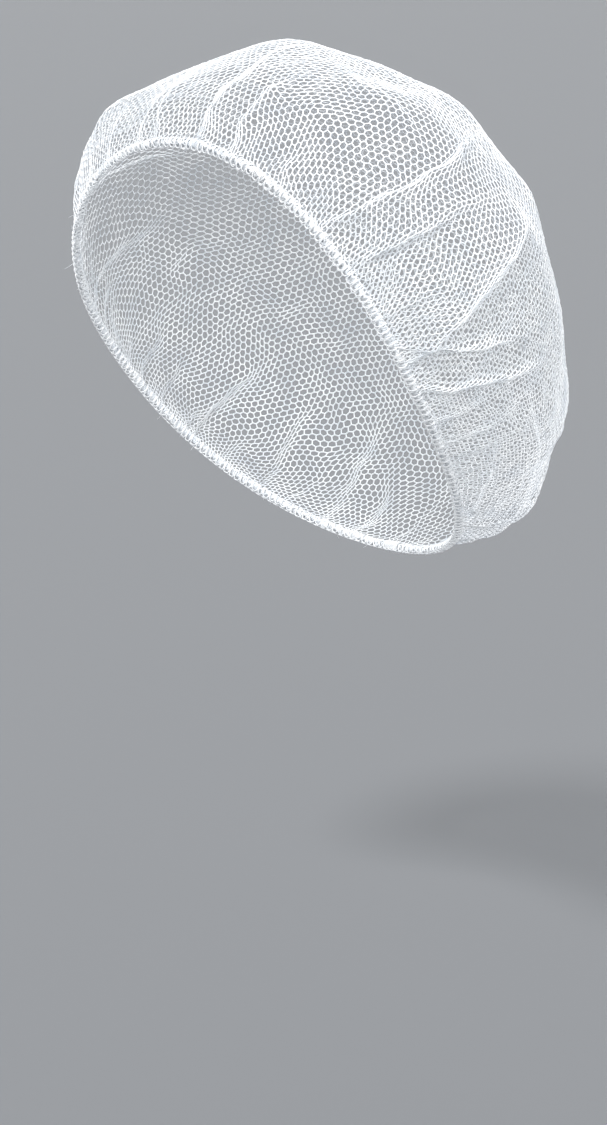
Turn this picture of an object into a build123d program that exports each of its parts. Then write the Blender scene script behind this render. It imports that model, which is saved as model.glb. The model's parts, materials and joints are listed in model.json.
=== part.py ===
from build123d import *
import os
from math import cos, hypot, pi, sin, tan

# Hair net of knitted hexagonal mesh, gathered onto an elastic hem, in the shape it takes on a head.
# All sizes are in millimetres. The net is built in its own frame and tipped back at the end:
# x across the head, y from forehead to nape along the hem, z out of the opening into the crown.

# crown: four ellipsoid quarters that meet on two planes through one centre
crown_half_width = 92.5
crown_front_reach = 82.5
crown_back_reach = 126.5
crown_rise = 76.5
crown_drop = 57.5
crown_centre_y = -21.0
crown_centre_z = 18.5
net_thickness = 0.6

# hem: a closed line on the crown, bowed down at the temples
hem_saddle_radius = 161.0
hem_corner_count = 32
hem_fold_diameter = 3.0

# elastic inside the hem
elastic_core_diameter = 1.0
elastic_cover_diameter = 1.8

# overlock stitching, laid as plain rings along the hem
thread_diameter = 0.3
thread_clearance = 0.05

# bar tack that closes the joined ends at the nape
tack_length = 6.0
tack_thickness = 0.4
tack_clearance = 0.1

# how far the hem is tipped from level when the net is worn
worn_tilt = 55.0

arc_share_of_run = 0.45
hem_root_steps = 40


def crown_quarter(shrink, front, upper):
    """One quarter of the crown form, cut from a ball of radius one, its semi-axes reduced by shrink."""
    reach = crown_front_reach if front else crown_back_reach
    height = crown_rise if upper else crown_drop
    corner = Pos(0, -1 if front else 1, 1 if upper else -1) * Box(4, 2, 2)
    quarter = Sphere(1) & corner
    semi_axes = (crown_half_width - shrink, reach - shrink, height - shrink)
    return Pos(0, crown_centre_y, crown_centre_z) * scale(quarter, by=semi_axes)


def crown_form_value(x, y, z):
    """Below one inside the middle surface of the net, above one outside it."""
    half = net_thickness / 2
    reach = crown_front_reach if y < crown_centre_y else crown_back_reach
    height = crown_drop if z < crown_centre_z else crown_rise
    across = x / (crown_half_width - half)
    along = (y - crown_centre_y) / (reach - half)
    above = (z - crown_centre_z) / (height - half)
    return across**2 + along**2 + above**2


def saddle_height(x):
    """Height of the cylinder that the hem lies on."""
    return (hem_saddle_radius**2 - x**2) ** 0.5 - hem_saddle_radius


def hem_point(angle):
    """Where the ray at this angle from the forehead meets both the crown and the saddle."""
    near = 0.0
    far = crown_half_width + crown_back_reach
    for _ in range(hem_root_steps):
        middle = (near + far) / 2
        x = middle * sin(angle)
        y = -middle * cos(angle)
        inside = abs(x) < crown_half_width and crown_form_value(x, y, saddle_height(x)) < 1
        near, far = (middle, far) if inside else (near, middle)
    return Vector(near * sin(angle), -near * cos(angle), saddle_height(near * sin(angle)))


def hem_line(outward, rise):
    """Closed line beside the hem: straight runs joined by large tangent arcs."""
    hem = [hem_point(2 * pi * i / hem_corner_count) for i in range(hem_corner_count)]
    corners = []
    for i, point in enumerate(hem):
        chord = hem[(i + 1) % hem_corner_count] - hem[i - 1]
        normal = Vector(chord.Y, -chord.X, 0).normalized()
        corners.append(point + normal * outward + Vector(0, 0, rise))
    radii = []
    for i, point in enumerate(corners):
        before = point - corners[i - 1]
        after = corners[(i + 1) % hem_corner_count] - point
        turn = before.get_angle(after) * pi / 180
        radii.append(arc_share_of_run * min(before.length, after.length) / tan(turn / 2))
    return FilletPolyline(*corners, radius=radii, close=True)


def ring(line, diameter):
    """Round bar along a closed line."""
    section = (line ^ 0) * Circle(diameter / 2)
    return sweep(section, path=line)


def stitch_ring(outward_share, rise_share):
    """Ring of thread lying on the hem, towards a direction given by two shares of one."""
    reach = (hem_fold_diameter + thread_diameter) / 2 + thread_clearance
    size = hypot(outward_share, rise_share)
    line = hem_line(reach * outward_share / size, reach * rise_share / size)
    return ring(line, thread_diameter)


hem_path = hem_line(0, 0)
hem_bar = ring(hem_path, hem_fold_diameter)
elastic_bar = ring(hem_path, elastic_cover_diameter)

net_crown = None
for front in (True, False):
    for upper in (True, False):
        quarter = crown_quarter(0, front, upper) - crown_quarter(net_thickness, front, upper)
        net_crown = quarter if net_crown is None else net_crown + quarter
saddle_axis = Pos(0, crown_centre_y, -hem_saddle_radius) * Rot(90, 0, 0)
saddle = saddle_axis * Cylinder(hem_saddle_radius, 2 * (crown_back_reach + crown_half_width))
net_crown = net_crown - saddle - hem_bar

hem_fold = hem_bar - elastic_bar
elastic_core = ring(hem_path, elastic_core_diameter)
elastic_cover = elastic_bar - elastic_core

needle_thread = stitch_ring(-0.5, 1.0)
upper_looper_thread = stitch_ring(1.0, -0.6)
lower_looper_thread = stitch_ring(-1.0, -0.3)

tack_bore = hem_fold_diameter + 2 * (thread_clearance + thread_diameter + tack_clearance)
tack_diameter = tack_bore + 2 * tack_thickness
nape = hem_point(pi)
tack_window = Pos(nape.X, nape.Y, nape.Z) * Box(tack_length, 2 * tack_diameter, 2 * tack_diameter)
join_tack = (ring(hem_path, tack_diameter) & tack_window) - ring(hem_path, tack_bore) - net_crown

pieces = {
    "net_crown": net_crown,
    "hem_fold": hem_fold,
    "elastic_core": elastic_core,
    "elastic_cover": elastic_cover,
    "needle_thread": needle_thread,
    "upper_looper_thread": upper_looper_thread,
    "lower_looper_thread": lower_looper_thread,
    "join_tack": join_tack,
}

os.makedirs("parts", exist_ok=True)
for name, piece in pieces.items():
    worn = Rot(-worn_tilt, 0, 0) * piece
    export_step(worn, f"parts/{name}.step")
    print(name, "volume", round(worn.volume, 1), "solids", len(worn.solids()))
print("hem length", round(hem_path.length, 1))
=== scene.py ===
import json
import math

import bmesh
import bpy
import numpy as np
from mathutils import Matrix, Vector
from mathutils.bvhtree import BVHTree


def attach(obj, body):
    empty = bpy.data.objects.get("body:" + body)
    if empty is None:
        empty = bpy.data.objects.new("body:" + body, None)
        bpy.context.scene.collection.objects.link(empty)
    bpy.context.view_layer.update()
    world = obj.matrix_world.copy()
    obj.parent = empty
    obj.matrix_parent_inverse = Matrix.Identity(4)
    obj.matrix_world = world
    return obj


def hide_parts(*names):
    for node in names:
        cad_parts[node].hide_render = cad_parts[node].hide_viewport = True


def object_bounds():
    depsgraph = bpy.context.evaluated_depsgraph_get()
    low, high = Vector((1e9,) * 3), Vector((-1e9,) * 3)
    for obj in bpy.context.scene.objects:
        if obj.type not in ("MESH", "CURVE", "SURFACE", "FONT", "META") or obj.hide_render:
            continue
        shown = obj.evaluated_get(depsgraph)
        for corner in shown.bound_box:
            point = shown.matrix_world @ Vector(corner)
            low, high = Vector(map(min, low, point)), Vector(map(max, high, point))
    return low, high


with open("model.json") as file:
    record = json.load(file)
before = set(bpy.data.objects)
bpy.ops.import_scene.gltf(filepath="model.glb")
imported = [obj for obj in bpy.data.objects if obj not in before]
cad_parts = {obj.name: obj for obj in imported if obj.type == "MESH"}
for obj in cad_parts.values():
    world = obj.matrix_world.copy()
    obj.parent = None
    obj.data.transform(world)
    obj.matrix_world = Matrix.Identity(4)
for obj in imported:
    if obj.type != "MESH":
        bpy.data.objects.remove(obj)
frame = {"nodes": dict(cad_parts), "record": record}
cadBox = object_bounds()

nodes = frame["nodes"]
millimetre = 0.001
fullTurn = 2 * math.pi
tiny = 1e-12    # stands in for a zero that would be divided by

# net frame: across the head, back along the hem, and up out of the opening into the crown
openingMount = next(m for m in frame["record"]["mounts"] if m["name"] == "head_opening")
openingPlace = np.array(openingMount["pos_m"])
upAxis = -np.array(openingMount["axis"])
acrossAxis = np.array([1.0, 0.0, 0.0])
backAxis = np.cross(upAxis, acrossAxis)
netAxes = np.stack([acrossAxis, backAxis, upAxis])


def toNet(points):    # places read on the three axes of the net frame
    return (points - openingPlace) @ netAxes.T


def toWorld(points):    # the same three axes added up again
    return openingPlace + points @ netAxes


def unit(vectors):    # each vector over its own length
    return vectors / np.maximum(np.linalg.norm(vectors, axis=-1, keepdims=True), tiny)


def smoothRise(x, low, high):    # 3t squared less 2t cubed, with t from 0 at low to 1 at high
    t = np.clip((x - low) / (high - low), 0, 1)
    return t * t * (3 - 2 * t)


def wrapAngle(angle):    # the same angle between minus half a turn and half a turn
    return (angle + math.pi) % fullTurn - math.pi


def meshPoints(obj):    # the corners of a mesh, one to a row
    flat = np.empty(3 * len(obj.data.vertices))
    obj.data.vertices.foreach_get("co", flat)
    return flat.reshape(-1, 3)


# hem line: where the elastic lies, read from its CAD bar
hemFit = dict(waves=9, samples=1440, tangentStep=0.002)    # the step is in radians


def waveBasis(angle):    # a constant, then the cosine and sine of each multiple of the angle
    k = np.arange(1, hemFit["waves"] + 1) * np.asarray(angle)[..., None]
    return np.concatenate([np.ones_like(k[..., :1]), np.cos(k), np.sin(k)], axis=-1)


barPoints = toNet(meshPoints(nodes["elastic_core"]))
barAngle = np.arctan2(barPoints[:, 0], -barPoints[:, 1])
hemWaves = np.linalg.lstsq(waveBasis(barAngle), barPoints, rcond=None)[0]
hemAngles = np.linspace(0, fullTurn, hemFit["samples"] + 1)


def hemPoint(angle):    # the sum of the fitted waves at this angle from the forehead
    return waveBasis(angle) @ hemWaves


hemSteps = np.linalg.norm(np.diff(hemPoint(hemAngles), axis=0), axis=1)
hemReach = np.concatenate([[0], np.cumsum(hemSteps)])
hemLength = hemReach[-1]
print("hem length", round(hemLength, 4))


def hemFrame(distance):    # point, tangent, outward and rise at a distance along the hem
    angle = np.interp(distance % hemLength, hemReach, hemAngles)
    step = hemFit["tangentStep"]
    tangent = unit(hemPoint(angle + step) - hemPoint(angle - step))
    outward = unit(np.cross(tangent, [0.0, 0.0, 1.0]))
    return hemPoint(angle), tangent, outward, np.cross(outward, tangent)


def hemPath(distance, radius, turn):    # the hem line plus a radius, turned from outward towards rise
    hem, _, outward, rise = hemFrame(distance)
    facing = np.cos(turn)[:, None] * outward + np.sin(turn)[:, None] * rise
    return hem + radius[:, None] * facing, facing


# crown: a grid over the CAD shell, from the top down to the hem
crownGrid = dict(around=240, down=72, smoothings=3, centreRise=12 * millimetre,
                 lastShare=0.965)    # the last ray's share of the way from the top to the hem


def readCrown():    # rays from inside meet the CAD shell, then each meridian is cut to equal steps
    tree = BVHTree.FromObject(nodes["net_crown"], bpy.context.evaluated_depsgraph_get())
    angles = np.arange(crownGrid["around"]) * fullTurn / crownGrid["around"]
    hem = hemPoint(angles)
    centre = np.array([0.0, 0.0, crownGrid["centreRise"]])
    lastPolar = np.arctan2(np.hypot(hem[:, 0], hem[:, 1]), hem[:, 2] - centre[2])
    shares = np.linspace(0, crownGrid["lastShare"], crownGrid["down"])
    polar = shares[:, None] * lastPolar[None, :]
    ray = np.stack([np.sin(polar) * np.sin(angles), -np.sin(polar) * np.cos(angles), np.cos(polar)],
                   axis=-1)
    origin = Vector(toWorld(centre))
    reach = np.array([[tree.ray_cast(origin, Vector(d))[3] for d in row] for row in ray @ netAxes])
    rough = np.concatenate([centre + ray * reach[..., None], hem[None]])
    steps = np.linalg.norm(np.diff(rough, axis=0), axis=2)
    travelled = np.concatenate([np.zeros((1, len(angles))), np.cumsum(steps, axis=0)])
    levels = np.linspace(0, 1, crownGrid["down"] + 1)
    grid = np.empty((len(levels), len(angles), 3))
    for i in range(len(angles)):
        for axis in range(3):
            grid[:, i, axis] = np.interp(levels * travelled[-1, i], travelled[:, i], rough[:, i, axis])
    for _ in range(crownGrid["smoothings"]):
        grid = (2 * grid + np.roll(grid, 1, axis=1) + np.roll(grid, -1, axis=1)) / 4
        grid[1:-1] = (2 * grid[1:-1] + grid[:-2] + grid[2:]) / 4
    return levels, grid, travelled[-1]


crownLevels, crownPoints, meridians = readCrown()
crownRound = np.roll(crownPoints, -1, axis=1) - np.roll(crownPoints, 1, axis=1)
crownNormals = unit(np.cross(np.gradient(crownPoints, axis=0), crownRound))
crownNormals[0] = np.array([0.0, 0.0, 1.0])
print("crown read, meridians", meridians.min().round(4), "to", meridians.max().round(4))


def sampleGrid(grid, level, angle):    # blend of the four nearest grid values, closed round the crown
    rows, columns = grid.shape[:2]
    r = np.clip(level, 0, 1) * (rows - 1)
    c = (angle % fullTurn) * columns / fullTurn
    r0 = np.minimum(r.astype(int), rows - 2)
    c0 = c.astype(int) % columns
    c1 = (c0 + 1) % columns
    fr = (r - r0)[..., None]
    fc = (c - np.floor(c))[..., None]
    upper = grid[r0, c0] * (1 - fc) + grid[r0, c1] * fc
    lower = grid[r0 + 1, c0] * (1 - fc) + grid[r0 + 1, c1] * fc
    return upper * (1 - fr) + lower * fr


# the cut round of mesh, and how it is let into the crown
netCut = dict(
    pitch=2.68 * millimetre,    # across a cell, side to side
    threadHalfWidth=0.265 * millimetre,
    threadHalfHeight=0.20 * millimetre,
    threadShare=0.39,    # share of the mesh's flat area that is thread
    ownFacing=0.35,    # how far a joint faces by its own threads rather than by the crown
    cornerReach=1.45,    # most that a joint's corners stand out, over the half width
    edgeThickening=1.25,    # threads bunched in the edge lie broader
    crownStretch=1.01,    # length of a meridian over the length of its mesh, at the top
    hemStretch=1.12,    # the same at the hem, where squeezed cells grow long
    stretchStart=0.5,
    wrapTurns=2.0,    # how far the edge goes round the elastic
    wrapLead=0.975,    # level from which the mesh comes onto the elastic
    wrapRadius=1.30 * millimetre,
    wrapShrink=0.22 * millimetre,    # the edge lies closer in by the end of the wrap
    wrapRagged=0.14 * millimetre,
    raggedSeed=3,
)

# pleats: narrow bands where the gathered mesh is bunched, running up from the hem. The named ones lie
# where the net is pinched on this crown; the rest are spread by chance in the gaps between them
pleats = dict(
    seed=11, count=44, samples=4320,
    keepApart=math.radians(5),    # least from a chance pleat to a named one
    named=[    # degrees at the hem, lean and curl upwards, level of the top, strength, width and height in mm
        (3.0, 0, 0, 0.60, 3.6, 0.65, 1.4), (-8.0, -12, 0, 0.74, 0.9, 1.1, 1.6),
        (36.0, 75, -100, 0.50, 1.7, 0.95, 2.4), (46.5, 35, 0, 0.62, 1.4, 0.80, 2.2),
        (58.5, 35, 0, 0.78, 0.9, 0.80, 1.4), (66.0, 100, -60, 0.70, 1.3, 0.95, 2.2),
        (81.0, 60, 0, 0.66, 1.3, 1.0, 2.4), (20.0, 25, 0, 0.80, 0.7, 0.9, 1.0)],
    stepLow=0.1, stepHigh=0.9,    # where in its even step round the hem a chance pleat starts
    sway=0.22,    # how far it wanders sideways, in radians, at its top
    topLow=0.46, topHigh=0.90,    # where it dies out, from 0 at the crown's top to 1 at the hem
    strengthLow=0.4, strengthHigh=1.9,    # how much mesh it holds against the others
    widthLow=0.7, widthHigh=1.5,    # mm
    heightLow=0.8, heightHigh=2.3,    # mm
    topRise=0.22,    # levels that a pleat takes to grow from nothing at its top
    widening=1.6, widenOver=0.4,    # how much wider it gets upwards, and over how many levels
    lean=1.1,    # how far it falls over sideways, against its height
    ridgeWidth=1.3,    # width of its ridge, against the width of its bunched mesh
    hemFlat=0.75, flatFrom=0.90, flatTo=0.985,    # the hem presses its ridge down by this share
    openSqueeze=1.0, hemSqueeze=1.55,    # how far cells between pleats are squeezed, where 1 is not at all
    squeezeStart=0.80,
    looseHeap=0.02,    # spare mesh left everywhere, against a pleat of strength one
)


def cutProfile():    # mesh length down a meridian: meridian steps over the stretch at each level
    stretch = netCut["crownStretch"] + (netCut["hemStretch"] - netCut["crownStretch"]) * smoothRise(
        crownLevels, netCut["stretchStart"], 1.0)
    share = meridians.mean() / stretch
    steps = (share[1:] + share[:-1]) / 2 * np.diff(crownLevels)
    return np.concatenate([[0], np.cumsum(steps)])


cutRadii = cutProfile()
cutRadius = cutRadii[-1]
crownGirth = np.linalg.norm(np.roll(crownPoints, -1, axis=1) - crownPoints, axis=2).sum(axis=1)
girthShare = crownGirth / np.maximum(fullTurn * cutRadii, tiny)
girthShare[0] = girthShare[1]
print("mesh round", round(2 * cutRadius, 4), "across, gathered", round(1 / girthShare[-1], 3), "to 1")


def choosePleats():    # the named pleats first, then chance ones in even steps that keep clear of them
    dice = np.random.default_rng(pleats["seed"])
    named = np.array(pleats["named"])
    count = pleats["count"]
    place = np.arange(count) + dice.uniform(pleats["stepLow"], pleats["stepHigh"], count)
    angle = place * fullTurn / count
    chosen = np.stack([
        angle,
        dice.uniform(-1, 1, count) * pleats["sway"],
        dice.uniform(-1, 1, count) * pleats["sway"],
        dice.uniform(pleats["topLow"], pleats["topHigh"], count),
        dice.uniform(pleats["strengthLow"], pleats["strengthHigh"], count),
        dice.uniform(pleats["widthLow"], pleats["widthHigh"], count),
        dice.uniform(pleats["heightLow"], pleats["heightHigh"], count)], axis=1)
    named[:, :3] = np.radians(named[:, :3])
    clear = np.abs(wrapAngle(angle[:, None] - named[None, :, 0])).min(axis=1) > pleats["keepApart"]
    rows = np.concatenate([named, chosen[clear]])
    rows[:, 5:] *= millimetre
    leans = dice.uniform(-1, 1, len(rows)) * pleats["lean"]
    return rows[:, 0], rows[:, 1:3].T, rows[:, 3], rows[:, 4], rows[:, 5], rows[:, 6], leans


pleatAngles, pleatSway, pleatTops, pleatStrengths, pleatWidths, pleatHeights, pleatLeans = choosePleats()


def pleatLines(level):    # hem angle plus lean times the height u above the hem plus curl times u squared
    up = 1 - level[..., None]
    return pleatAngles + pleatSway[0] * up + pleatSway[1] * up**2


def pleatShares(level):    # each pleat's strength at each level, from nothing at its top
    return pleatStrengths * smoothRise(level[..., None], pleatTops, pleatTops + pleats["topRise"])


def pleatSpread(level):    # each pleat's width times a rise from one at the hem to the widening
    rise = smoothRise(1 - level[..., None], 0.0, pleats["widenOver"])
    return pleatWidths * (1 + (pleats["widening"] - 1) * rise)


def gatherTable():    # level by level, how far each angle of the cut mesh is moved round the head
    # the mesh per angle is an open share, plus what is left over heaped in a bell curve on each pleat;
    # its running sum gives the cut angle at each head angle, and is read the other way round
    turns = np.arange(pleats["samples"]) * fullTurn / pleats["samples"]
    squeeze = pleats["openSqueeze"] + (pleats["hemSqueeze"] - pleats["openSqueeze"]) * smoothRise(
        crownLevels, pleats["squeezeStart"], 1.0)
    openShare = np.minimum(girthShare * squeeze, 1.0)
    lines = pleatLines(crownLevels)
    shares = pleatShares(crownLevels)
    spread = pleatSpread(crownLevels)
    radius = (crownGirth / fullTurn)[:, None]
    heap = np.zeros((len(crownLevels), len(turns)))
    for i in range(len(pleatAngles)):
        away = wrapAngle(turns[None, :] - lines[:, i:i + 1]) * radius
        heap += shares[:, i:i + 1] * np.exp(-0.5 * (away / spread[:, i:i + 1]) ** 2)
    heap += pleats["looseHeap"]
    heap *= ((1 - openShare) / heap.mean(axis=1))[:, None]
    density = openShare[:, None] + heap
    cut = np.cumsum(density, axis=1) * fullTurn / len(turns)
    cut += (fullTurn - cut[:, -1:]) * np.linspace(0, 1, len(turns))
    table = np.empty_like(cut)
    threeTurns = np.concatenate([turns - fullTurn, turns, turns + fullTurn])
    for row in range(len(crownLevels)):
        slip = (turns - cut[row]).mean()
        threeCuts = np.concatenate([cut[row] - fullTurn, cut[row], cut[row] + fullTurn])
        table[row] = np.interp(turns - slip, threeCuts, threeTurns) - turns
    return table[..., None]


gatherShift = gatherTable()


def honeycomb(radius, pitch):    # zigzag rows 1.5 sides apart, each joint tied up or down by turns
    side = pitch / math.sqrt(3)
    spare = 6    # columns and rows past the round
    columns = int(4 * radius / pitch) + spare
    rows = int(2 * radius / (1.5 * side)) + spare
    i, j = np.meshgrid(np.arange(columns), np.arange(rows), indexing="ij")
    odd = (i + j) % 2
    x = (i - columns / 2) * pitch / 2
    y = (j - rows / 2) * 1.5 * side + np.where(odd, -0.25, 0.25) * side    # a quarter side off its row
    number = np.full((columns + 2, rows + 2), -1)
    inside = np.hypot(x, y) < radius
    number[1:-1, 1:-1][inside] = np.arange(inside.sum())
    left, right = number[:-2, 1:-1], number[2:, 1:-1]
    below, above = number[1:-1, :-2], number[1:-1, 2:]
    tiedUp = np.stack([above, left, right], axis=-1)    # both orders go round anticlockwise
    tiedDown = np.stack([below, right, left], axis=-1)
    near = np.where(odd[..., None] == 0, tiedUp, tiedDown)[inside]
    return np.stack([x[inside], y[inside]], axis=1), near


wrapLength = netCut["wrapTurns"] * fullTurn * (netCut["wrapRadius"] - netCut["wrapShrink"] / 2)
wrapStart = cutRadius - netCut["wrapRadius"]
flatJoints, nearJoints = honeycomb(wrapStart + wrapLength, netCut["pitch"])
flatRadius = np.hypot(flatJoints[:, 0], flatJoints[:, 1])
flatAngle = np.arctan2(flatJoints[:, 0], -flatJoints[:, 1])
onWrap = flatRadius >= wrapStart
joints = np.arange(len(flatJoints))
hasThread = nearJoints >= 0    # at the rim a joint has fewer than three threads
neighbours = np.where(hasThread, nearJoints, joints[:, None])    # a missing one is the joint itself
print("mesh joints", len(joints), "of them on the wrap", int(onWrap.sum()))

# soft swells of the loose net, apart from its pleats
swells = dict(
    seed=5, waves=14, height=1.1 * millimetre,
    shortWave=30 * millimetre, longWave=85 * millimetre, weakWave=0.4,
    waveFade=0.78, bulgeFade=0.93,    # levels from which they die away towards the hem
    bulges=[    # level, degrees, height and half width in mm: where this crown stands out or dips
        (0.83, 327, 2.2, 12), (0.92, 309, -3.2, 15), (0.81, 342, -1.8, 11), (0.57, 357, 2.6, 15),
        (0.56, 24, -2.8, 13), (0.42, 40.5, 3.0, 14), (0.85, 148, 2.6, 13), (0.63, 126, 3.8, 17),
        (0.42, 73, 2.6, 12), (0.62, 70, 2.0, 14), (0.75, 112, 2.4, 15), (0.5, 95, -1.5, 14)],
    crossFolds=[    # level and degrees of each end, height and half width in mm
        (0.667, 19.5, 0.736, 46.5, 1.7, 1.6), (0.60, 88, 0.66, 112, 1.5, 1.8),
        (0.70, 128, 0.62, 150, 1.6, 1.8), (0.72, 205, 0.66, 232, 1.6, 1.7),
        (0.58, 262, 0.64, 284, 1.5, 1.7)],
    foldSag=0.10,    # how deep the chord of a fold lies inside the crown, over its length
    foldEnd=0.02,    # share of a fold's length, at each end, over which it gets no lower
)


def swellHeight(level, angle):    # the sum of slow sine waves, bell-shaped bulges and ridged cross folds
    dice = np.random.default_rng(swells["seed"])
    spot = sampleGrid(crownPoints, level, angle)
    total = np.zeros(len(level))
    for _ in range(swells["waves"]):
        direction = unit(dice.normal(size=3))
        waveLength = dice.uniform(swells["shortWave"], swells["longWave"])
        strength = dice.uniform(swells["weakWave"], 1.0)
        phase = dice.uniform(0, fullTurn)
        total += strength * np.sin(spot @ direction * fullTurn / waveLength + phase)
    # a sum of sines spreads by the root of half their number
    fade = 1 - smoothRise(level, swells["waveFade"], 1.0)
    total *= swells["height"] / math.sqrt(swells["waves"] / 2) * fade
    keep = 1 - smoothRise(level, swells["bulgeFade"], 1.0)
    for bulgeLevel, degrees, height, halfWidth in swells["bulges"]:
        centre = sampleGrid(crownPoints, np.array([bulgeLevel]), np.radians([degrees]))
        away = np.linalg.norm(spot - centre, axis=1) / (halfWidth * millimetre)
        total += height * millimetre * np.exp(-away**2) * keep
    for levelA, degreesA, levelB, degreesB, height, halfWidth in swells["crossFolds"]:
        ends = sampleGrid(crownPoints, np.array([levelA, levelB]), np.radians([degreesA, degreesB]))
        run = ends[1] - ends[0]
        share = np.clip((spot - ends[0]) @ run / (run @ run), 0, 1)[:, None]
        away = np.linalg.norm(spot - ends[0] - share * run, axis=1)
        share = share[:, 0]
        sag = 4 * share * (1 - share) * swells["foldSag"] * np.linalg.norm(run)
        away = np.sqrt(np.maximum(away**2 - sag**2, 0)) / (halfWidth * millimetre)
        inner = np.clip(share, swells["foldEnd"], 1 - swells["foldEnd"])
        total += height * millimetre * np.exp(-away**2) * np.sin(math.pi * inner)
    return total


def pleatLift(level, angle):    # each pleat is a bell-shaped ridge, and falls over by its lean times that
    radius = np.interp(level, crownLevels, crownGirth) / fullTurn
    away = wrapAngle(angle[:, None] - pleatLines(level)) * radius[:, None]
    bell = np.exp(-((away / (pleats["ridgeWidth"] * pleatSpread(level))) ** 2))
    ridge = bell * pleatHeights * np.minimum(pleatShares(level), 1)
    fade = 1 - pleats["hemFlat"] * smoothRise(level, pleats["flatFrom"], pleats["flatTo"])
    return ridge.sum(axis=1) * fade, (ridge * pleatLeans).sum(axis=1) * fade


def layNet():    # crown point, plus its normal times swell and ridge, plus sideways times the fall
    level = np.interp(flatRadius, cutRadii, crownLevels)
    angle = flatAngle + sampleGrid(gatherShift, level, flatAngle)[:, 0]
    base = sampleGrid(crownPoints, level, angle)
    normal = unit(sampleGrid(crownNormals, level, angle))
    ridge, fallen = pleatLift(level, angle)
    sideways = unit(sampleGrid(crownRound, level, angle))
    points = base + normal * (swellHeight(level, angle) + ridge)[:, None] + sideways * fallen[:, None]
    # the edge goes round the elastic: over the outer side, under it and up inside
    wrapAngles = angle[onWrap]
    distance = np.interp(wrapAngles % fullTurn, hemAngles, hemReach)
    hem, _, outward, rise = hemFrame(distance)
    leaving = sampleGrid(crownPoints, np.full(len(wrapAngles), netCut["wrapLead"]), wrapAngles) - hem
    start = np.arctan2((leaving * rise).sum(axis=1), (leaving * outward).sum(axis=1))
    travel = (flatRadius[onWrap] - wrapStart) / (netCut["wrapRadius"] - netCut["wrapShrink"] / 2)
    dice = np.random.default_rng(netCut["raggedSeed"])
    ragged = dice.normal(size=len(travel)) * netCut["wrapRagged"]
    shrink = netCut["wrapShrink"] * travel / (fullTurn * netCut["wrapTurns"])
    points[onWrap], normal[onWrap] = hemPath(distance, netCut["wrapRadius"] - shrink + ragged, start - travel)
    return points, normal


laidPoints, laidNormals = layNet()
print("net laid on the crown")

# settling: threads keep their length, cells stay open where they can, and the net stays near the crown
settling = dict(
    seed=8, rounds=60,
    jitter=0.16, unevenness=0.05,    # joints out of place before and after, over a cell's side
    driftWaves=26, driftHeight=0.55 * millimetre,
    driftShort=0.007, driftLong=0.026,    # metres from crest to crest
    pull=0.30, push=0.04,    # how far a long or a short thread is put right in one round
    even=0.03,    # pull towards the middle of a joint's neighbours
    hold=0.03, holdNormal=0.05,    # pull back towards where the joint was laid
    inner=2.0 * millimetre, outer=4.0 * millimetre,    # most that it may sink or lift
)


def settle(points, normals):    # each round moves every joint by what its three threads ask for
    side = netCut["pitch"] / math.sqrt(3)
    dice = np.random.default_rng(settling["seed"])
    free = ~onWrap[:, None]
    tied = hasThread[..., None]
    drift = np.zeros(points.shape)
    shortest, longest = settling["driftShort"], settling["driftLong"]
    for _ in range(settling["driftWaves"]):    # slow sideways drift of the cells, as slack mesh has
        wave = unit(dice.normal(size=3)) * fullTurn / dice.uniform(shortest, longest)
        drift += np.outer(np.sin(points @ wave + dice.uniform(0, fullTurn)), unit(dice.normal(size=3)))
    drift -= normals * (drift * normals).sum(axis=1, keepdims=True)
    # along any one axis, a sum of such waves spreads by the root of a sixth of their number
    drift *= settling["driftHeight"] / math.sqrt(settling["driftWaves"] / 6)
    target = points + drift * free
    points = target + dice.normal(size=points.shape) * settling["jitter"] * side * free
    for _ in range(settling["rounds"]):
        toNear = (points[neighbours] - points[:, None]) * tied
        length = np.linalg.norm(toNear, axis=2, keepdims=True)
        error = (length - side) / np.maximum(length, tiny)
        error = np.where(error > 0, error * settling["pull"], error * settling["push"]) * tied
        move = (toNear * error).sum(axis=1)
        move += toNear.sum(axis=1) / 3 * settling["even"]
        back = target - points
        outwards = (back * normals).sum(axis=1, keepdims=True)
        move += back * settling["hold"] + normals * outwards * settling["holdNormal"]
        points = points + move * free
        lift = ((points - target) * normals).sum(axis=1, keepdims=True)
        points = points + normals * (np.clip(lift, -settling["inner"], settling["outer"]) - lift) * free
    return points + dice.normal(size=points.shape) * settling["unevenness"] * side * free


netPoints = settle(laidPoints, laidNormals)
print("net settled")


def makeMesh(name, points, faces):    # points in the net frame and rows of corners, into one object
    mesh = bpy.data.meshes.new(name)
    mesh.vertices.add(len(points))
    mesh.vertices.foreach_set("co", toWorld(points).ravel())
    mesh.loops.add(faces.size)
    mesh.loops.foreach_set("vertex_index", faces.ravel())
    mesh.polygons.add(len(faces))
    mesh.polygons.foreach_set("loop_start", np.arange(len(faces)) * faces.shape[1])
    mesh.polygons.foreach_set("use_smooth", np.ones(len(faces), dtype=bool))
    mesh.update(calc_edges=True)
    obj = bpy.data.objects.new(name, mesh)
    bpy.context.scene.collection.objects.link(obj)
    return obj


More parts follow.
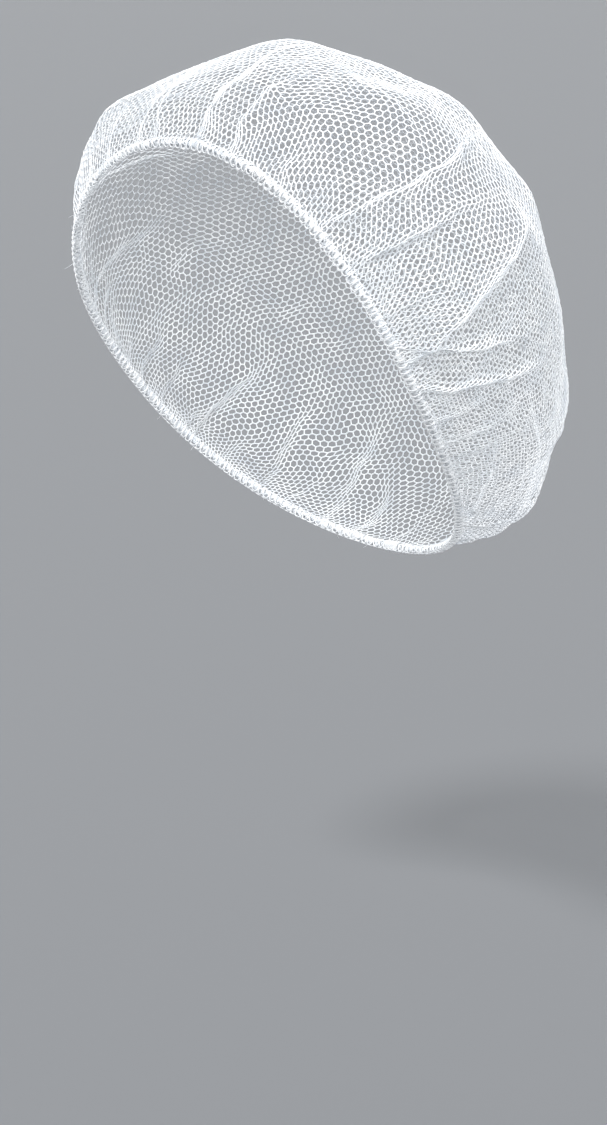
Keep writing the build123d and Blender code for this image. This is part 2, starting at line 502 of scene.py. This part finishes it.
def jointPlaces(halfWidth, halfHeight):    # each joint's top, bottom, and corner between each two threads
    along = unit(netPoints[neighbours] - netPoints[:, None])
    others = np.where(hasThread[..., None], along, 0).sum(axis=1, keepdims=True)
    along = np.where(hasThread[..., None], along, unit(-others))
    own = sum(np.cross(along[:, k], along[:, (k + 1) % 3]) for k in range(3))
    outer = np.sign((own * laidNormals).sum(axis=1, keepdims=True))
    normal = unit(netCut["ownFacing"] * unit(own) * outer + laidNormals)
    leftSide = unit(np.cross(normal[:, None], along))
    between = leftSide - np.roll(leftSide, -1, axis=1)
    reach = 2 / np.maximum(np.linalg.norm(between, axis=2, keepdims=True), tiny)
    corners = netPoints[:, None] + unit(between) * np.minimum(reach, netCut["cornerReach"]) * halfWidth
    tops = netPoints + normal * halfHeight
    bottoms = netPoints - normal * halfHeight
    return np.concatenate([tops[:, None], bottoms[:, None], corners], axis=1).reshape(-1, 3)


def threadEnd(joint, slot):    # the numbers of the places at a thread's root: top, bottom, left and right
    first = 5 * joint    # each joint has five: top, bottom and the corner to the left of each thread
    return first, first + 1, first + 2 + slot, first + 2 + (slot + 2) % 3


def weaveThreads(name, mine, halfWidth, halfHeight):
    # a thread is four faces from its end at one joint to its end at the other, whose left and right are the
    # other way round, and a thread that stops is closed by one face
    home = np.repeat(joints[:, None], 3, axis=1)
    slot = np.tile(np.arange(3), (len(joints), 1))
    farSlot = np.argmax(nearJoints[neighbours] == home[..., None], axis=2)
    once = mine & (home < neighbours)
    top, bottom, left, right = threadEnd(home[once], slot[once])
    farTop, farBottom, farRight, farLeft = threadEnd(neighbours[once], farSlot[once])
    walls = [[top, right, farRight, farTop], [top, farTop, farLeft, left],
             [bottom, farBottom, farRight, right], [bottom, left, farLeft, farBottom]]
    stopped = mine.any(axis=1, keepdims=True) & ~mine
    top, bottom, left, right = threadEnd(home[stopped], slot[stopped])
    walls.append([top, left, bottom, right])
    faces = np.concatenate([np.stack(wall, axis=1) for wall in walls])
    used, compact = np.unique(faces, return_inverse=True)
    return makeMesh(name, jointPlaces(halfWidth, halfHeight)[used], compact.reshape(faces.shape))


def threadOwner(onPiece):    # a thread belongs where its lower-numbered joint does
    return hasThread & onPiece[np.minimum(neighbours, joints[:, None])]


leftHalf = threadOwner(~onWrap & (flatJoints[:, 0] >= 0))
rightHalf = threadOwner(~onWrap & (flatJoints[:, 0] < 0))
edgeRows = threadOwner(onWrap)
netLeft = weaveThreads("netLeft", leftHalf, netCut["threadHalfWidth"], netCut["threadHalfHeight"])
netRight = weaveThreads("netRight", rightHalf, netCut["threadHalfWidth"], netCut["threadHalfHeight"])
netEdge = weaveThreads("netEdge", edgeRows, netCut["threadHalfWidth"] * netCut["edgeThickening"],
                       netCut["threadHalfHeight"] * netCut["edgeThickening"])
print("net faces", len(netLeft.data.polygons), len(netRight.data.polygons), len(netEdge.data.polygons))


def tubeMesh(name, path, reference, radius, sides, closed):
    # rings of the radius round the path, turned so that the first point faces the reference; the map runs
    # along the path in metres and once round the tube from 0 to 1
    if closed:
        tangent = unit(np.roll(path, -1, axis=0) - np.roll(path, 1, axis=0))
    else:
        tangent = unit(np.gradient(path, axis=0))
    first = unit(reference - (reference * tangent).sum(axis=1, keepdims=True) * tangent)
    second = np.cross(tangent, first)
    turn = (np.arange(sides) * fullTurn / sides)[None, :, None]
    facing = np.cos(turn) * first[:, None] + np.sin(turn) * second[:, None]
    rings = path[:, None] + np.atleast_2d(radius)[..., None] * facing
    count = len(path)
    i, k = np.meshgrid(np.arange(count if closed else count - 1), np.arange(sides), indexing="ij")
    here, ahead, nextSide = i * sides, ((i + 1) % count) * sides, (k + 1) % sides
    faces = np.stack([here + nextSide, ahead + nextSide, ahead + k, here + k], axis=-1)
    obj = makeMesh(name, rings.reshape(-1, 3), faces.reshape(-1, 4))
    travelled = np.concatenate([[0], np.cumsum(np.linalg.norm(np.diff(path, axis=0), axis=1))])
    u0, u1 = travelled[i], travelled[i] + travelled[-1] / (count - 1)
    v0, v1 = k / sides, (k + 1) / sides
    corners = np.stack([u0, v1, u1, v1, u1, v0, u0, v0], axis=-1)
    obj.data.uv_layers.new(name="threadMap").data.foreach_set("uv", corners.ravel())
    return obj


# overlock seam: three threads that cross at every stitch
seam = dict(
    pitch=2.5 * millimetre, perStitch=24, sides=6,
    threadRadius=0.19 * millimetre,
    hemRadius=1.46 * millimetre,    # how far out the threads lie on the hem
    crossOver=0.22 * millimetre,    # how far they ride over each other
    edgeLoop=0.85 * millimetre,    # how far the arches stand out along the edge
    seed=21, uneven=0.22,    # how much the stitches differ
    turnPlay=0.5, spacingPlay=0.6,    # shares of that in the turn and in the spacing
    edgeHold=0.7,    # share of the turn's play that the edge holds back
    overshoot=1.1,    # most that a swing may reach
)
topTurn = math.radians(84)
edgeTurn = math.radians(-104)

# for each thread: the turns round the hem that it swings between, how far it runs ahead and sways along
# the hem, in stitches, and its share of the edge loop. A sway below nothing widens the arch at the edge
seamThreads = dict(
    upperLooperThread=(topTurn, edgeTurn, 0.0, -0.21, 1.0),
    lowerLooperThread=(topTurn - fullTurn, edgeTurn - 0.15, 0.08, -0.21, 0.8),    # round the inner side
    needleThread=(topTurn + 0.25, topTurn - 0.95, 0.3, 0.25, 0.2),
)
stitchCount = int(round(hemLength / seam["pitch"]))
seamPhase = np.arange(stitchCount * seam["perStitch"]) / seam["perStitch"]
seamDice = np.random.default_rng(seam["seed"])


def unevenStitches():    # one random value per stitch, eased from each stitch to the next
    values = seamDice.normal(size=stitchCount)
    return np.interp(seamPhase % stitchCount, np.arange(stitchCount + 1), np.append(values, values[0]))


def seamThread(name, fromTurn, toTurn, ahead, sway, loopShare):
    # once per stitch the thread goes round the hem from one turn to the other and back: one less the square
    # of a cosine that runs from one to nothing. It stands out at the edge by the fourth power of that swing
    phase = fullTurn * (seamPhase + ahead)
    swing = 1 - ((1 + np.cos(phase)) / 2) ** 2
    loose = unevenStitches() * seam["uneven"]
    played = swing + loose * seam["turnPlay"] * (1 - seam["edgeHold"] * swing)
    turn = fromTurn + (toTurn - fromTurn) * np.clip(played, 0, seam["overshoot"])
    distance = (seamPhase + sway * np.sin(phase) + seam["spacingPlay"] * loose) * hemLength / stitchCount
    standOut = loopShare * seam["edgeLoop"] * swing**4 * (1 + loose)
    radius = seam["hemRadius"] + seam["crossOver"] * np.cos(phase * 2) / 2 + standOut
    path, facing = hemPath(distance, radius, turn)
    return tubeMesh(name, path, facing, seam["threadRadius"], seam["sides"], True)


upperLooper, lowerLooper, needleThread = [seamThread(name, *way) for name, way in seamThreads.items()]
print("seam stitches", stitchCount)

# yarn wound round the elastic, as ridges that climb round the bar
winding = dict(radius=0.84 * millimetre, ridge=0.07 * millimetre, pitch=1.1 * millimetre,
               along=5, sides=16)    # rings to a pass, and sides of the bar


def makeWinding():    # the radius rises and falls once for each pass of the wound yarn
    passes = int(hemLength / winding["pitch"])
    count = passes * winding["along"]
    distance = np.arange(count) * hemLength / count
    hem, _, outward, _ = hemFrame(distance)
    around = np.arange(winding["sides"]) / winding["sides"]
    ridge = np.cos(fullTurn * (distance[:, None] / hemLength * passes - around[None, :]))
    radius = winding["radius"] + winding["ridge"] * ridge
    return tubeMesh("windingYarn", hem, outward, radius, winding["sides"], True)


windingYarn = makeWinding()

# bar tack: close turns of thread over the joined ends at the nape
tack = dict(
    length=6.0 * millimetre, turns=15, radius=1.95 * millimetre, threadRadius=0.15 * millimetre,
    perTurn=18, sides=6,
    ragged=0.05 * millimetre, ripples=5, wander=2, wanderRate=0.7,    # how unevenly the turns lie
)


def makeTack():    # a helix round the hem line, centred at half the hem's length
    steps = np.linspace(0, 1, tack["turns"] * tack["perTurn"])
    distance = hemLength / 2 + (steps - 0.5) * tack["length"]
    turn = steps * tack["turns"] * fullTurn
    uneven = np.sin(tack["ripples"] * turn + tack["wander"] * np.sin(tack["wanderRate"] * turn))
    path, facing = hemPath(distance, tack["radius"] + tack["ragged"] * uneven, turn)
    return tubeMesh("barTack", path, facing, tack["threadRadius"], tack["sides"], False)


def closeEnds(obj):    # one face over each open end of a tube
    work = bmesh.new()
    work.from_mesh(obj.data)
    bmesh.ops.holes_fill(work, edges=[e for e in work.edges if e.is_boundary], sides=0)
    work.to_mesh(obj.data)
    work.free()


barTack = makeTack()
closeEnds(barTack)

# cut ends of filament that stand out of the hem
fray = dict(
    seed=17, count=90, steps=7, sides=4, radius=0.065 * millimetre,
    thinning=0.45,    # share of its radius that an end has lost at its tip
    shortest=1.2 * millimetre, longest=4.6 * millimetre,
    clumpAt=0.325, clumpWidth=0.05, clumpShare=0.35,    # shares of the hem's length, and of the ends
    turnLow=math.radians(-150), turnHigh=math.radians(40),
    slant=0.9, scatter=0.35,    # how far the ends lean along the hem and every way
    bendLow=0.1, bendHigh=0.5,
)
sideReference = [0.3, 0.5, 0.8]    # any direction that no end runs along


def makeFray():    # root plus length times heading t plus bend t squared, thinner towards the tip
    dice = np.random.default_rng(fray["seed"])
    count, steps, sides = fray["count"], fray["steps"], fray["sides"]
    clump = dice.normal(fray["clumpAt"], fray["clumpWidth"] / 2, count)
    spread = dice.uniform(0, 1, count)
    place = np.where(dice.uniform(size=count) < fray["clumpShare"], clump, spread) * hemLength
    turn = dice.uniform(fray["turnLow"], fray["turnHigh"], count)
    start, facing = hemPath(place, np.full(count, seam["hemRadius"]), turn)
    slant = hemFrame(place)[1] * dice.normal(0, fray["slant"], (count, 1))
    heading = unit(facing + slant + dice.normal(0, fray["scatter"], (count, 3)))
    bend = np.cross(heading, unit(dice.normal(size=(count, 3))))
    bend = bend * dice.uniform(fray["bendLow"], fray["bendHigh"], (count, 1))
    length = fray["shortest"] + (fray["longest"] - fray["shortest"]) * dice.uniform(size=(count, 1, 1)) ** 2
    t = np.linspace(0, 1, steps)[None, :, None]
    line = start[:, None] + length * (heading[:, None] * t + bend[:, None] * t**2)
    along = unit(np.gradient(line, axis=1))
    side = unit(np.cross(along, sideReference))
    cross = np.cross(along, side)
    around = (np.arange(sides) * fullTurn / sides)[:, None]
    thin = (fray["radius"] * (1 - fray["thinning"] * t))[..., None]
    rings = line[:, :, None] + thin * (np.cos(around) * side[:, :, None] + np.sin(around) * cross[:, :, None])
    f, i, k = np.meshgrid(np.arange(count), np.arange(steps - 1), np.arange(sides), indexing="ij")
    here, nextSide = (f * steps + i) * sides, (k + 1) % sides
    ahead = here + sides
    walls = np.stack([here + k, here + nextSide, ahead + nextSide, ahead + k], axis=-1).reshape(-1, 4)
    first = np.arange(count)[:, None] * steps * sides
    roots = first + np.array([0, 3, 2, 1])
    tips = first + (steps - 1) * sides + np.array([0, 1, 2, 3])
    return makeMesh("frayedEnds", rings.reshape(-1, 3), np.concatenate([walls, roots, tips]))


frayedEnds = makeFray()
print("hem pieces made")


# materials
def hexColour(text):    # sRGB to linear: divide by 12.92 below 0.04045, else the 2.4 power curve
    values = [int(text[i:i + 2], 16) / 255 for i in (1, 3, 5)]
    return tuple(v / 12.92 if v <= 0.04045 else ((v + 0.055) / 1.055) ** 2.4 for v in values) + (1.0,)


def addNode(tree, kind, settings=None, links=None):    # one node, its values or stops, and what feeds it
    node = tree.nodes.new(kind)
    for name, value in (settings or {}).items():
        if name == "stops":
            for element, (place, tone) in zip(node.color_ramp.elements, value):
                element.position = place
                element.color = hexColour(tone)
        elif isinstance(name, int) or name in node.inputs:
            node.inputs[name].default_value = value
        else:
            setattr(node, name, value)
    for name, source in (links or {}).items():
        tree.links.new(source, node.inputs[name])
    return node


def newMaterial(name):    # a material whose node tree starts empty
    material = bpy.data.materials.new(name)
    material.use_nodes = True
    material.node_tree.nodes.clear()
    return material, material.node_tree


def finishMaterial(tree, shader):    # the shader into the surface
    output = addNode(tree, "ShaderNodeOutputMaterial")
    tree.links.new(shader.outputs[0], output.inputs["Surface"])


# flat continuous polyester filament, heat set into mesh: bright white, with a soft satin gleam
filamentLook = dict(
    light="#f7f9fb", shade="#dfe4ea", roughness=0.5, sheen=0.15,
    patch=9.0 * millimetre, patchDetail=3.0, patchLow=0.30, patchHigh=0.62,
    fibre=0.35 * millimetre, fibreDetail=2.0,    # real fibres are 0.02 mm; drawn as coarse as they show
    bump=0.35, bumpDepth=0.05 * millimetre,
)


def polyesterFilament():    # colour by slow noise, relief by noise as fine as the fibres
    look = filamentLook
    material, tree = newMaterial("heatSetPolyesterFilament")
    place = addNode(tree, "ShaderNodeTexCoord").outputs["Object"]
    patches = addNode(tree, "ShaderNodeTexNoise",
                      {"Scale": 1 / look["patch"], "Detail": look["patchDetail"]}, {"Vector": place})
    stops = [(look["patchLow"], look["shade"]), (look["patchHigh"], look["light"])]
    ramp = addNode(tree, "ShaderNodeValToRGB", {"stops": stops}, {"Fac": patches.outputs["Fac"]})
    fibres = addNode(tree, "ShaderNodeTexNoise",
                     {"Scale": 1 / look["fibre"], "Detail": look["fibreDetail"]}, {"Vector": place})
    bump = addNode(tree, "ShaderNodeBump", {"Strength": look["bump"], "Distance": look["bumpDepth"]},
                   {"Height": fibres.outputs["Fac"]})
    shader = addNode(tree, "ShaderNodeBsdfPrincipled",
                     {"Roughness": look["roughness"], "Sheen Weight": look["sheen"]},
                     {"Base Color": ramp.outputs["Color"], "Normal": bump.outputs["Normal"]})
    finishMaterial(tree, shader)
    return material


# spun two-ply polyester sewing thread: a little whiter than the mesh, with slanting plies, and painted shade
# in the grooves between them
threadLook = dict(light="#fcfdfe", shade="#e2e6eb", ply=0.55 * millimetre)

# textured yarn wound over the rubber: broader plies, a little greyer, with the same painted shade in their
# grooves
yarnLook = dict(light="#f7f9fa", shade="#e0e4e9", ply=0.8 * millimetre)

# what both have alike: how many plies there are round them, and a dull, slightly downy relief
plyLook = dict(around=2.0, lightFrom=0.55, bump=0.5, bumpDepth=0.06 * millimetre, roughness=0.62, sheen=0.2)


def pliedThread(name, look):    # a sine of the way along plus the way round, so that the plies slant; the colour darkens where the bump dips, as painted shade in the grooves between the plies
    material, tree = newMaterial(name)
    threadMap = addNode(tree, "ShaderNodeUVMap", {"uv_map": "threadMap"})
    parts = addNode(tree, "ShaderNodeSeparateXYZ", links={"Vector": threadMap.outputs["UV"]})
    along = addNode(tree, "ShaderNodeMath", {"operation": "MULTIPLY", 1: fullTurn / look["ply"]},
                    {0: parts.outputs["X"]})
    around = addNode(tree, "ShaderNodeMath", {"operation": "MULTIPLY", 1: fullTurn * plyLook["around"]},
                     {0: parts.outputs["Y"]})
    phase = addNode(tree, "ShaderNodeMath", {"operation": "ADD"}, {0: along.outputs[0], 1: around.outputs[0]})
    wave = addNode(tree, "ShaderNodeMath", {"operation": "SINE"}, {0: phase.outputs[0]})
    level = addNode(tree, "ShaderNodeMapRange", {"From Min": -1.0, "From Max": 1.0},
                    {"Value": wave.outputs[0]})
    # the shade stop sits where the sine is lowest, in the grooves that the bump sinks: painted shade between
    # the plies
    stops = [(0.0, look["shade"]), (plyLook["lightFrom"], look["light"])]
    ramp = addNode(tree, "ShaderNodeValToRGB", {"stops": stops}, {"Fac": level.outputs["Result"]})
    bump = addNode(tree, "ShaderNodeBump", {"Strength": plyLook["bump"], "Distance": plyLook["bumpDepth"]},
                   {"Height": level.outputs["Result"]})
    shader = addNode(tree, "ShaderNodeBsdfPrincipled",
                     {"Roughness": plyLook["roughness"], "Sheen Weight": plyLook["sheen"]},
                     {"Base Color": ramp.outputs["Color"], "Normal": bump.outputs["Normal"]})
    finishMaterial(tree, shader)
    return material


# extruded natural rubber core: warm off-white, dull, with a dusty bloom
rubberLook = dict(light="#e9e4d9", shade="#d6cfbf", roughness=0.7,
                  bloom=2.0 * millimetre, bloomDetail=4.0, bloomLow=0.35, bloomHigh=0.65)


def dustedRubber():    # colour by noise as wide as the bloom
    look = rubberLook
    material, tree = newMaterial("extrudedNaturalRubber")
    place = addNode(tree, "ShaderNodeTexCoord").outputs["Object"]
    bloom = addNode(tree, "ShaderNodeTexNoise",
                    {"Scale": 1 / look["bloom"], "Detail": look["bloomDetail"]}, {"Vector": place})
    stops = [(look["bloomLow"], look["shade"]), (look["bloomHigh"], look["light"])]
    ramp = addNode(tree, "ShaderNodeValToRGB", {"stops": stops}, {"Fac": bloom.outputs["Fac"]})
    shader = addNode(tree, "ShaderNodeBsdfPrincipled", {"Roughness": look["roughness"]},
                     {"Base Color": ramp.outputs["Color"]})
    finishMaterial(tree, shader)
    return material


filament = polyesterFilament()
sewing = pliedThread("spunPolyesterSewingThread", threadLook)
coveringYarn = pliedThread("texturedCoveringYarn", yarnLook)
nodes["elastic_core"].data.materials.clear()
nodes["elastic_core"].data.materials.append(dustedRubber())

# which CAD node each piece stands for, the slot that names its finish, and the finish
standsFor = [
    (netLeft, "net_crown", "net_yarn", filament),
    (netRight, "net_crown", "net_yarn", filament),
    (netEdge, "hem_fold", "hem_yarn", filament),
    (frayedEnds, "hem_fold", "hem_yarn", filament),
    (windingYarn, "elastic_cover", "covering_yarn", coveringYarn),
    (needleThread, "needle_thread", "stitch_thread", sewing),
    (upperLooper, "upper_looper_thread", "stitch_thread", sewing),
    (lowerLooper, "lower_looper_thread", "stitch_thread", sewing),
    (barTack, "join_tack", "stitch_thread", sewing),
]
for piece, node, slotName, finish in standsFor:
    piece.data.materials.append(finish)
    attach(piece, "root")
    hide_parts(node)
print("materials made")

# floor, light and camera
stageLook = dict(floorDrop=170 * millimetre, floorSize=80.0, floor="#737578", roughness=0.9,
                 world="#a3a6a9", worldStrength=1.0)    # the floor is 80 metres wide


def makeStage():    # a wide plain floor under an even pale sky
    low = float(cadBox[0][2]) - stageLook["floorDrop"]
    half = stageLook["floorSize"] / 2
    mesh = bpy.data.meshes.new("floor")
    corners = [(-half, -half, low), (half, -half, low), (half, half, low), (-half, half, low)]
    mesh.from_pydata(corners, [], [(0, 1, 2, 3)])
    floor = bpy.data.objects.new("floor", mesh)
    bpy.context.scene.collection.objects.link(floor)
    material, tree = newMaterial("mattePaper")    # an even tone with no gleam
    shader = addNode(tree, "ShaderNodeBsdfPrincipled",
                     {"Base Color": hexColour(stageLook["floor"]), "Roughness": stageLook["roughness"]})
    finishMaterial(tree, shader)
    floor.data.materials.append(material)
    world = bpy.data.worlds.new("studio")
    world.use_nodes = True
    background = world.node_tree.nodes["Background"]
    background.inputs["Color"].default_value = hexColour(stageLook["world"])
    background.inputs["Strength"].default_value = stageLook["worldStrength"]
    bpy.context.scene.world = world
    bpy.context.scene.view_settings.view_transform = "Standard"    # whites stay white


makeStage()
cameraView = dict(azimuth=41.1, elevation=14.0, distance=1.2, imageMetres=0.3975, sensor=36.0,
                  asideOf=0.0031, belowOf=0.0734)    # the image's long side spans imageMetres at the origin

# parallel lights from wide sources: azimuth, elevation, power and spread, with angles in degrees
lights = dict(
    keyLight=(12, 50, 2.3, 10),
    sideLight=(100, 10, 2.1, 50),
    backLight=(225, 30, 1.0, 50),
    fillLight=(20, 6, 0.8, 60),
    skyLight=(0, 89, 1.3, 150),
)


def viewAxes(azimuth, elevation):    # back from the origin, to the right and up, from two angles
    a, e = math.radians(azimuth), math.radians(elevation)
    back = Vector((math.sin(a) * math.cos(e), -math.cos(a) * math.cos(e), math.sin(e)))
    right = Vector((math.cos(a), math.sin(a), 0))
    return back, right, back.cross(right)


def placeLooking(name, data, place, back):    # an object at a place that looks against the back direction
    obj = bpy.data.objects.new(name, data)
    obj.location = place
    obj.rotation_euler = back.to_track_quat("Z", "Y").to_euler()
    bpy.context.scene.collection.objects.link(obj)
    return obj


def makeCamera():    # the lens is the sensor times the distance over the metres that the image spans
    back, right, up = viewAxes(cameraView["azimuth"], cameraView["elevation"])
    data = bpy.data.cameras.new("camera")
    data.sensor_width = cameraView["sensor"]
    data.lens = cameraView["sensor"] * cameraView["distance"] / cameraView["imageMetres"]
    place = back * cameraView["distance"] + right * cameraView["asideOf"] - up * cameraView["belowOf"]
    bpy.context.scene.camera = placeLooking("camera", data, place, back)


def addLight(name, azimuth, elevation, power, spread):    # a sun a metre out in that direction
    back = viewAxes(azimuth, elevation)[0]
    data = bpy.data.lights.new(name, "SUN")
    data.energy = power
    data.angle = math.radians(spread)
    placeLooking(name, data, back, back)


makeCamera()
for name, light in lights.items():
    addLight(name, *light)
print("stage set")
